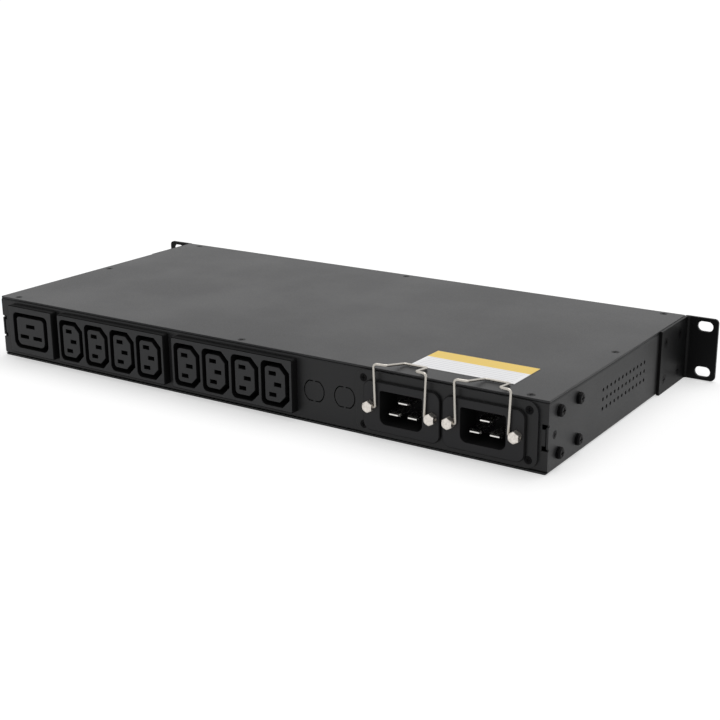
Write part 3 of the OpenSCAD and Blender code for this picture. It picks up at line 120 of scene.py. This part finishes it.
class Graph:
    """Node tree of one material or world, with short calls for the nodes that the finishes use."""

    def __init__(self, name, library="materials", output="ShaderNodeOutputMaterial"):
        self.owner = getattr(bpy.data, library).new(name)
        self.owner.use_nodes = True
        self.tree = self.owner.node_tree
        self.tree.nodes.clear()
        self.output = self.tree.nodes.new(output)
        self._xyz = None

    def add(self, kind, settings=None, sockets=None, out=0):
        """Adds a node, applies its settings and then the values or links of its sockets."""
        node = self.tree.nodes.new(kind)
        for key, value in (settings or {}).items():
            setattr(node, key, value)
        for key, value in (sockets or {}).items():
            self.put(node.inputs[key], value)
        return Value(self, node.outputs[out])

    def put(self, socket, value):
        if isinstance(value, Value):
            value = value.source
        if isinstance(value, bpy.types.NodeSocket):
            self.tree.links.new(value, socket)
        elif value is not None:
            socket.default_value = value

    def place(self):
        """Object coordinates as a vector and its three parts, in metres."""
        if self._xyz is None:
            vector = self.add("ShaderNodeTexCoord", out=3)
            node = self.tree.nodes.new("ShaderNodeSeparateXYZ")
            self.put(node.inputs[0], vector)
            self._xyz = (vector, *[Value(self, s) for s in node.outputs])
        return self._xyz

    def stretched(self, scale):
        """Object coordinates scaled by a factor along each axis."""
        return self.add("ShaderNodeMapping", {"vector_type": "POINT"},
                        {"Vector": self.place()[0], "Scale": scale})

    def noise(self, size, detail=2.0, vector=None, rough=0.5):
        """Smooth noise from 0 to 1 whose lumps are about size metres wide."""
        return self.add("ShaderNodeTexNoise", {"noise_dimensions": "3D"},
                        {"Vector": vector or self.place()[0], "Scale": 1.0 / size, "Detail": detail,
                         "Roughness": rough})

    def cells(self, size):
        """Distance to the nearest of many scattered points, size metres apart."""
        return self.add("ShaderNodeTexVoronoi", {"feature": "F1"},
                        {"Vector": self.place()[0], "Scale": 1.0 / size})

    def blend(self, factor, first, second):
        """Colour between first and second."""
        node = self.tree.nodes.new("ShaderNodeMix")
        node.data_type = "RGBA"
        self.put(node.inputs["Factor"], factor)
        for socket, colour in ((node.inputs[6], first), (node.inputs[7], second)):
            self.put(socket, colour if isinstance(colour, Value) else (*colour[:3], 1.0))
        return Value(self, node.outputs[2])

    def rounded(self, radius):
        """Normal that turns smoothly over a radius at every edge, and 1 on those edges, 0 off them."""
        soft = self.add("ShaderNodeBevel", {"samples": 4}, {"Radius": radius})
        true = self.add("ShaderNodeNewGeometry", out="Normal")
        along = self.add("ShaderNodeVectorMath", {"operation": "DOT_PRODUCT"}, {0: soft, 1: true}, "Value")
        return soft, (1 - along).ramp(0.01, 0.22)

    def plainly_seen(self):
        """1 for rays of sight, direct, off a gloss or through glass, and 0 for the rest of the light."""
        path = self.tree.nodes.new("ShaderNodeLightPath")
        direct, gloss, glass = (Value(self, path.outputs[k])
                                for k in ("Is Camera Ray", "Is Glossy Ray", "Is Transmission Ray"))
        return direct.high(gloss).high(glass)

    def bump(self, height, depth, strength=1.0, normal=None):
        """Normal that follows a height from 0 to 1, worth depth metres."""
        return self.add("ShaderNodeBump", {}, {"Height": height, "Distance": depth, "Strength": strength,
                                                "Normal": normal})

    def finish(self, colour, rough, metal=0.0, normal=None, coat=0.0, specular=0.5, **more):
        """Principled shader on the output. Keywords are sockets, with _ for a space."""
        sockets = {"Base Color": colour if isinstance(colour, Value) else (*colour[:3], 1.0),
                   "Roughness": rough, "Metallic": metal, "Normal": normal, "Coat Weight": coat,
                   "Specular IOR Level": specular}
        sockets.update({key.replace("_", " "): value for key, value in more.items()})
        shader = self.add("ShaderNodeBsdfPrincipled", {}, sockets)
        self.put(self.output.inputs["Surface"], shader)
        return self.owner


def shade(colour, factor):
    return tuple(min(1.0, c * factor) for c in colour[:3])


# ---------------------------------------------------------------- finishes


def edge_mask(graph, low, high, axes, width):
    """1 on the border of a box seen along the other axis, fading to 0 over width."""
    parts = graph.place()[1:]
    near = None
    for axis in axes:
        for gap in (parts[axis] - low[axis], high[axis] - parts[axis]):
            near = gap if near is None else near.low(gap)
    return near.ramp(0.0, width, 1.0, 0.0)


def powder_coat(name, colour, rough=0.44, wear_and_highlight=0.3, sheen=PAINT_SHEEN):
    """Fine powder coat: orange peel, a tighter grain, faint cloudiness and paler edges, partly rubbed wear
    and partly a painted highlight.
    """
    g = Graph(name)
    soft, edge = g.rounded(PAINT_EDGE)
    peel = g.noise(1.5 * MM, 2.0)
    grit = g.noise(0.42 * MM, 3.0, rough=0.65)
    cloud = g.noise(60 * MM, 3.0)
    fleck = g.cells(0.8 * MM).ramp(0.0, 0.32, 1.0, 0.0)
    base = g.blend(cloud.ramp(0.35, 0.65), shade(colour, 0.94), shade(colour, 1.06))
    base = g.blend(grit.ramp(0.42, 0.6) * 0.5, base, shade(colour, 0.8))
    base = g.blend(fleck * 0.1, base, shade(colour, 1.9))
    # Paler edges: partly rubbed wear, partly a painted highlight along every edge.
    rub_and_highlight = edge * g.noise(5 * MM, 4.0).ramp(0.42, 0.62, 0.35, 1.0)
    base = g.blend(rub_and_highlight * wear_and_highlight, base, shade(colour, 4.0))
    gloss = cloud.ramp(0.3, 0.7, rough - 0.03, rough + 0.03) + grit.ramp(0.3, 0.7, -0.04, 0.05)
    relief = g.bump(peel, 0.02 * MM, 0.5, soft)
    relief = g.bump(grit, 0.012 * MM, 0.6, relief)
    return g.finish(base, gloss, normal=relief, specular=sheen)


def moulded(name, colour, rough=0.5, coat=0.0, sheen=0.3, front=None, pit_shade=(0.002, 0.002, 0.0022)):
    """Moulded plastic with a fine spark-eroded grain, soft flow marks and paler edges painted as a
    highlight.
    front is the depth of a face. Behind it, on the sides and in the sockets and slots, the plastic is
    painted near black as painted shade."""
    g = Graph(name)
    soft, edge = g.rounded(PLASTIC_EDGE)
    spark = g.cells(0.32 * MM)
    fine = g.noise(0.15 * MM, 2.0)
    flow = g.noise(18 * MM, 3.0, g.stretched((1.0, 1.0, 0.35)))
    base = g.blend(flow.ramp(0.3, 0.7), shade(colour, 0.95), shade(colour, 1.05))
    base = g.blend(spark.ramp(0.1, 0.6) * 0.3, base, shade(colour, 0.86))
    # Paler edges: a painted highlight along every edge of the plastic.
    base = g.blend(edge * 0.2, base, shade(colour, 1.8))
    gloss = flow.ramp(0.3, 0.7, rough - 0.04, rough + 0.04)
    gloss = gloss + fine.ramp(0.3, 0.7, -0.03, 0.03) - edge * 0.06
    if front is not None:
        depth = g.place()[2]
        face = depth.ramp(front - 0.5 * MM, front - 0.3 * MM)
        # Behind the front face the plastic is painted near black: painted shade on the sides, sockets and
        # slots.
        base = g.blend(face, pit_shade, base)
        gloss = gloss + (1 - face) * 0.3
    relief = g.bump(spark, 0.010 * MM, 0.5, soft)
    relief = g.bump(fine, 0.004 * MM, 0.5, relief)
    return g.finish(base, gloss, normal=relief, coat=coat, specular=sheen)


def drawn_metal(name, colour, rough=0.25, along=(1.0, 1.0, 1.0), scratch=0.5, tarnish=(0.3, 0.27, 0.24)):
    """Bright metal with fine marks along one direction, faint tarnish and a little grime in its pores."""
    g = Graph(name)
    lines = g.noise(0.25 * MM, 3.0, g.stretched(along), 0.6)
    stain = g.noise(6 * MM, 4.0)
    pits = g.cells(1.1 * MM).ramp(0.0, 0.16, 1.0, 0.0)
    base = g.blend(stain.ramp(0.45, 0.75) * 0.35, colour, shade(colour, 0.78))
    base = g.blend(pits * 0.3, base, tarnish)
    gloss = lines.ramp(0.3, 0.7, rough - 0.06, rough + 0.1) + stain.ramp(0.4, 0.8, 0.0, 0.08)
    relief = g.bump(lines, 0.006 * MM, scratch)
    return g.finish(base, gloss, metal=1.0, normal=relief)


def turned_metal(name, colour, rough=0.3, pitch=0.16):
    """Turned or plated metal: fine rings across the depth direction over a mottled plating."""
    g = Graph(name)
    _, x, y, z = g.place()
    ring = ((y + x * 0.25 + z * 0.25) * (2 * math.pi / (pitch * MM))).sine()
    mottle = g.noise(1.6 * MM, 4.0)
    base = g.blend(mottle.ramp(0.35, 0.7), shade(colour, 1.04), shade(colour, 0.84))
    gloss = mottle.ramp(0.3, 0.7, rough - 0.05, rough + 0.1)
    relief = g.bump(ring * 0.5 + 0.5, 0.004 * MM, 0.4)
    relief = g.bump(mottle, 0.02 * MM, 0.3, relief)
    return g.finish(base, gloss, metal=1.0, normal=relief)


def black_oxide(name, colour, rough=0.4):
    """Blackened screw steel: oily dark sheen, browner where the oxide is thin."""
    g = Graph(name)
    soft, edge = g.rounded(0.25 * MM)
    patch = g.noise(1.2 * MM, 4.0)
    fine = g.noise(0.2 * MM, 2.0)
    base = g.blend(patch.ramp(0.5, 0.75), colour, shade((0.012, 0.01, 0.009), 1.0))
    # Paler edges: a painted highlight, standing for glints on the screw heads.
    base = g.blend(edge * 0.3, base, shade(colour, 5.0))
    gloss = patch.ramp(0.3, 0.7, rough - 0.06, rough + 0.08)
    return g.finish(base, gloss, normal=g.bump(fine, 0.01 * MM, 0.5, soft), specular=0.06)


def printed_film(name, low, high, band):
    """Label film: a plain coloured field along its far edge, and ruled hairlines on the white rest."""
    g = Graph(name)
    _, x, y, _ = g.place()
    across = (x - low[0]) / (high[0] - low[0])
    down = y - low[1]
    wash = g.noise(9 * MM, 3.0)
    white = g.blend(wash, (0.89, 0.89, 0.91), (0.94, 0.94, 0.94))
    yellow = g.blend(wash, (0.86, 0.60, 0.13), (0.91, 0.65, 0.16))
    row = (down - band) / LABEL_PITCH
    place = row.wrap(1.0)
    rule = abs(place - 0.5).ramp(0.07, 0.13, 1.0, 0.0)
    span = across.above(0.04) * across.below(0.96)
    last = (down - band).below(high[1] - low[1] - band - 1.5 * MM)
    ink = rule * span * last * g.noise(0.5 * MM, 2.0).ramp(0.3, 0.6, 0.55, 1.0)
    paper = g.blend(ink * 0.55, white, (0.42, 0.43, 0.46))
    rule_off = (down - band).ramp(-0.06 * MM, 0.06 * MM)
    colour = g.blend(rule_off, yellow, paper)
    # Darker band along the label's border: painted shade at the film's edge.
    edge_shade = edge_mask(g, low, high, (0, 1), 0.35 * MM)
    colour = g.blend(edge_shade * 0.25, colour, (0.5, 0.5, 0.48))
    gloss = wash.ramp(0.3, 0.7, 0.36, 0.44) + ink * 0.1
    ripple = g.noise(14 * MM, 2.0)
    return g.finish(colour, gloss, normal=g.bump(ripple, 0.06 * MM, 0.4), specular=0.15)


def extruded(name, colour):
    """Extruded aluminium: die lines along the fins and a soft anodised bloom."""
    g = Graph(name)
    lines = g.noise(0.3 * MM, 3.0, g.stretched((0.02, 1.0, 1.0)))
    bloom = g.noise(22 * MM, 3.0)
    base = g.blend(bloom, shade(colour, 0.92), shade(colour, 1.05))
    return g.finish(base, lines.ramp(0.3, 0.7, 0.3, 0.46), metal=1.0, normal=g.bump(lines, 0.012 * MM, 0.6))


def solder_mask(name, colour):
    """Board: mask over copper tracks that run square to each other, with ringed vias between them."""
    g = Graph(name)
    lane_x = g.noise(14 * MM, 0.0, g.stretched((1.0, 0.05, 1.0)))
    lane_y = g.noise(14 * MM, 0.0, g.stretched((0.05, 1.0, 1.0)))
    track = (lane_x * 60.0).sine().above(0.55) * g.noise(30 * MM, 1.0).above(0.48)
    cross = (lane_y * 60.0).sine().above(0.62) * g.noise(34 * MM, 1.0).above(0.54)
    copper = track.high(cross)
    via = g.cells(7 * MM)
    ring = via.below(0.07) * via.above(0.03)
    base = g.blend(copper * 0.7, colour, shade(colour, 1.7))
    base = g.blend(ring, base, (0.62, 0.6, 0.55))
    height = copper.high(ring)
    return g.finish(base, ring.ramp(0.0, 1.0, 0.32, 0.25), metal=ring * 0.9,
                    normal=g.bump(height, 0.03 * MM, 0.5), coat=0.25)


def wound_coil(name, low, high, colour):
    """Board transformers: steel laminations, and a coil wrapped in tape over its turns."""
    g = Graph(name)
    _, x, y, z = g.place()
    turns = (z * (2 * math.pi / (0.6 * MM))).sine() * 0.5 + 0.5
    sheets = (x * (2 * math.pi / (0.5 * MM))).sine() * 0.5 + 0.5
    coil = z.above(low[2] + COIL_MARGIN_Z) * z.below(high[2] - COIL_MARGIN_Z)
    coil = coil * y.above(low[1] + COIL_MARGIN_Y) * y.below(high[1] - COIL_MARGIN_Y)
    tape = g.blend(g.noise(3 * MM, 3.0), shade(colour, 0.8), shade(colour, 1.15))
    steel = g.blend(sheets, (0.17, 0.165, 0.16), (0.3, 0.29, 0.28))
    height = turns * coil + sheets * (1 - coil)
    return g.finish(g.blend(coil, steel, tape), coil * 0.12 + 0.4, metal=(1 - coil) * 0.8,
                    normal=g.bump(height, 0.05 * MM, 0.6))


def insulation(name, colour):
    """Wire insulation: extruded sheath with a slight bloom and handling marks."""
    g = Graph(name)
    bloom = g.noise(8 * MM, 3.0)
    fine = g.noise(0.3 * MM, 2.0)
    base = g.blend(bloom, shade(colour, 0.85), shade(colour, 1.12))
    return g.finish(base, bloom.ramp(0.3, 0.7, 0.36, 0.5), normal=g.bump(fine, 0.012 * MM, 0.4), coat=0.1)


def dipped(name, colour, gloss=0.25):
    """Epoxy or resin coat with a slow ripple and pin holes."""
    g = Graph(name)
    ripple = g.noise(2.5 * MM, 2.0)
    holes = g.cells(1.3 * MM).ramp(0.0, 0.12, 1.0, 0.0)
    base = g.blend(ripple, shade(colour, 0.88), shade(colour, 1.1))
    base = g.blend(holes * 0.5, base, shade(colour, 0.4))
    return g.finish(base, ripple.ramp(0.3, 0.7, gloss, gloss + 0.12),
                    normal=g.bump(ripple, 0.15 * MM, 0.4), coat=0.3)


def ceramic(name, colour):
    """Fuse tube: glazed ceramic with plated end caps."""
    g = Graph(name)
    low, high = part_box("fuses")
    cap = edge_mask(g, low, high, (1,), FUSE_CAP).above(0.01)
    speck = g.cells(0.9 * MM).ramp(0.0, 0.2, 1.0, 0.0)
    body = g.blend(speck * 0.4, colour, shade(colour, 0.75))
    base = g.blend(cap, body, (0.66, 0.62, 0.55))
    return g.finish(base, cap.ramp(0.0, 1.0, 0.2, 0.3), metal=cap,
                    normal=g.bump(g.noise(0.6 * MM), 0.01 * MM, 0.4))


def lens(name, colour):
    """Diffused lamp lens: a milky dome, mottled lighter and darker."""
    g = Graph(name)
    milk = g.noise(0.8 * MM, 3.0)
    base = g.blend(milk, shade(colour, 0.8), shade(colour, 1.25))
    return g.finish(base, milk.ramp(0.3, 0.7, 0.16, 0.28), normal=g.bump(milk, 0.02 * MM, 0.3), coat=0.4,
                    Subsurface_Weight=0.2)


def assign(material, *names):
    for name in names:
        mesh = nodes[name].data
        mesh.materials.clear()
        mesh.materials.append(material)


label_low, label_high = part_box("cover_label")
bank_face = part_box("outlet_bank_1")[1].y
inlet_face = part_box("inlet_a_housing")[1].y

assign(powder_coat("case_powder_coat", PAINT), "base_tray", "rear_panel", "front_plate")
# The cover takes the case paint made 1.35 times lighter: painted light, for the top catching more light
# than the sides and rear.
assign(powder_coat("cover_coat_painted_light", shade(PAINT, 1.35), rough=0.42), "top_cover")
# The ears take the case paint darkened to 0.35 of it, with less sheen: painted shade, as the ears wear the
# case's own paint.
assign(powder_coat("ear_coat_painted_shade", shade(PAINT, 0.35), rough=0.42, sheen=0.1),
       "rack_ear_right", "rack_ear_left")
assign(powder_coat("inlet_plate_coat", shade(PAINT, 0.85), rough=0.4), "inlet_plate")
assign(moulded("inlet_moulding", (0.022, 0.022, 0.0235), rough=0.46, sheen=0.2, front=inlet_face),
       "inlet_a_housing", "inlet_b_housing")
assign(moulded("outlet_moulding", (0.050, 0.0505, 0.052), rough=0.52, sheen=0.15, front=bank_face),
       "outlet_bank_1", "outlet_bank_2", "outlet_large")
assign(drawn_metal("blade_plating", (0.74, 0.73, 0.70), rough=0.2, along=(1.0, 0.08, 1.0)),
       "inlet_a_pins", "inlet_b_pins")
assign(turned_metal("post_plating", (0.70, 0.66, 0.61), rough=0.36), "retainer_posts")
assign(turned_metal("inner_screw_plating", (0.66, 0.66, 0.65), rough=0.3),
       "post_nuts", "heatsink_screws", "module_screws", "strap_screws", "board_screws")
assign(drawn_metal("bright_wire", (0.47, 0.445, 0.405), rough=0.28, along=(0.5, 0.5, 0.12)),
       "retainer_a", "retainer_b")
# The contacts' bronze is darkened far below bright bronze: painted shade for the deep slots they sit in.
assign(drawn_metal("contact_bronze_painted_shade", (0.06, 0.038, 0.02), rough=0.45, along=(1.0, 0.1, 1.0)),
       "bank_1_contacts", "bank_2_contacts", "large_contacts")
assign(drawn_metal("rail_brass", (0.76, 0.55, 0.24), rough=0.28, along=(1.0, 0.1, 1.0)),
       "outlet_bus_bars", "fuse_clips")
assign(black_oxide("black_screw_steel", (0.004, 0.004, 0.0045)),
       "cover_screws", "side_screws", "corner_screws", "plate_screws", "ear_screws")
assign(printed_film("label_film", label_low, label_high, LABEL_BAND), "cover_label")
assign(extruded("sink_aluminium", (0.62, 0.63, 0.64)), "heatsink")
assign(moulded("module_moulding", (0.026, 0.027, 0.029), rough=0.4),
       "thyristor_modules", "control_chips", "button_switch", "serial_jack")
assign(drawn_metal("strap_copper", (0.78, 0.42, 0.25), rough=0.3, along=(0.05, 1.0, 1.0),
                   tarnish=(0.2, 0.09, 0.05)), "module_straps")
assign(turned_metal("post_brass", (0.74, 0.55, 0.27)),
       "strap_posts", "board_posts", "display_posts", "earth_stud")
assign(solder_mask("board_mask", (0.02, 0.13, 0.055)), "power_board", "control_board", "display_board")
assign(moulded("relay_moulding", (0.03, 0.033, 0.045), rough=0.3, coat=0.2), "relays")
coil_low, coil_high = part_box("supply_transformers")
assign(wound_coil("wound_coil", coil_low, coil_high, (0.36, 0.2, 0.09)), "supply_transformers")
assign(dipped("sensor_dip", (0.03, 0.09, 0.3)), "current_sensors", "varistors")
assign(ceramic("fuse_ceramic", (0.8, 0.77, 0.7)), "fuses")
assign(moulded("film_moulding", (0.62, 0.48, 0.05), rough=0.3, coat=0.2), "film_capacitors")
assign(moulded("terminal_moulding", (0.03, 0.27, 0.11), rough=0.42), "terminal_blocks")
assign(drawn_metal("jack_shell", (0.62, 0.62, 0.62), rough=0.3, along=(0.1, 1.0, 1.0)), "network_jack")
assign(lens("lamp_lens", (0.16, 0.5, 0.2)), "status_lamps")
assign(moulded("button_moulding", (0.13, 0.13, 0.14), rough=0.4), "select_button", "switch_plunger")
assign(insulation("lead_a_sheath", (0.16, 0.065, 0.03)), "inlet_a_leads")
assign(insulation("lead_b_sheath", (0.03, 0.05, 0.16)), "inlet_b_leads")
assign(insulation("lead_out_sheath", (0.04, 0.04, 0.045)), "outlet_leads")


# ---------------------------------------------------------------- floor, light and camera


def floor_sheet():
    """Wide flat floor just below the base. In plain sight it glows up to white where nothing shades it."""
    corners = np.array([[-1, -1], [1, -1], [1, 1], [-1, 1]]) * FLOOR_REACH
    points = np.column_stack([corners, np.full(4, -FLOOR_DROP)])
    mesh = bpy.data.meshes.new("floor")
    mesh.from_pydata(points.tolist(), [], [[0, 1, 2, 3]])
    floor = bpy.data.objects.new("floor", mesh)
    bpy.context.scene.collection.objects.link(floor)
    g = Graph("floor_paper")
    paper = g.blend(g.noise(0.4, 2.0), (0.62, 0.62, 0.62), (0.64, 0.64, 0.64))
    diffuse = g.add("ShaderNodeBsdfDiffuse", {}, {"Color": paper})
    glow = g.add("ShaderNodeEmission", {}, {"Color": (1, 1, 1, 1), "Strength": FLOOR_GLOW})
    lifted = g.add("ShaderNodeAddShader", {}, {0: diffuse, 1: glow})
    seen = g.add("ShaderNodeMixShader", {}, {0: g.plainly_seen(), 1: diffuse, 2: lifted})
    g.put(g.output.inputs["Surface"], seen)
    mesh.materials.append(g.owner)


def backdrop_world():
    """White in plain sight, and a soft level of light for all else."""
    g = Graph("studio", "worlds", "ShaderNodeOutputWorld")
    soft, white = (g.add("ShaderNodeBackground", {}, {"Color": (1, 1, 1, 1), "Strength": level})
                   for level in (SKY_LIGHT, 1.0))
    seen = g.add("ShaderNodeMixShader", {}, {0: g.plainly_seen(), 1: soft, 2: white})
    g.put(g.output.inputs["Surface"], seen)
    bpy.context.scene.world = g.owner


def overhead_light(name, towards, spread, strength):
    """Even light from one direction, as from a large soft screen that spreads over an angle in degrees."""
    lamp = bpy.data.lights.new(name, "SUN")
    lamp.angle = math.radians(spread)
    lamp.energy = strength
    holder = bpy.data.objects.new(name, lamp)
    bpy.context.scene.collection.objects.link(holder)
    holder.rotation_mode = "QUATERNION"
    holder.rotation_quaternion = Vector(towards).to_track_quat("-Z", "Y")
    holder.location = -Vector(towards)


def make_camera():
    """Camera above and behind the inlets' side, with a slight roll."""
    azimuth, elevation, roll = (math.radians(a) for a in CAMERA_ANGLES)
    back = Vector((math.sin(azimuth) * math.cos(elevation), -math.cos(azimuth) * math.cos(elevation),
                   math.sin(elevation)))
    right = (-back).cross(Vector((0, 0, 1))).normalized()
    up = right.cross(-back)
    turned = right * math.cos(roll) + up * math.sin(roll)
    up = up * math.cos(roll) - right * math.sin(roll)
    data = bpy.data.cameras.new("camera")
    data.sensor_width = 36.0
    data.lens = CAMERA_LENS
    data.clip_start, data.clip_end = 0.01, 50.0
    camera = bpy.data.objects.new("camera", data)
    bpy.context.scene.collection.objects.link(camera)
    turn = Matrix((turned, up, back)).transposed()
    camera.rotation_mode = "QUATERNION"
    camera.rotation_quaternion = turn.to_quaternion()
    camera.location = CAMERA_PLACE
    bpy.context.scene.camera = camera


floor_sheet()
backdrop_world()
overhead_light("key", KEY_TOWARDS, KEY_SPREAD, KEY_STRENGTH)
make_camera()
bpy.context.scene.view_settings.view_transform = "Standard"
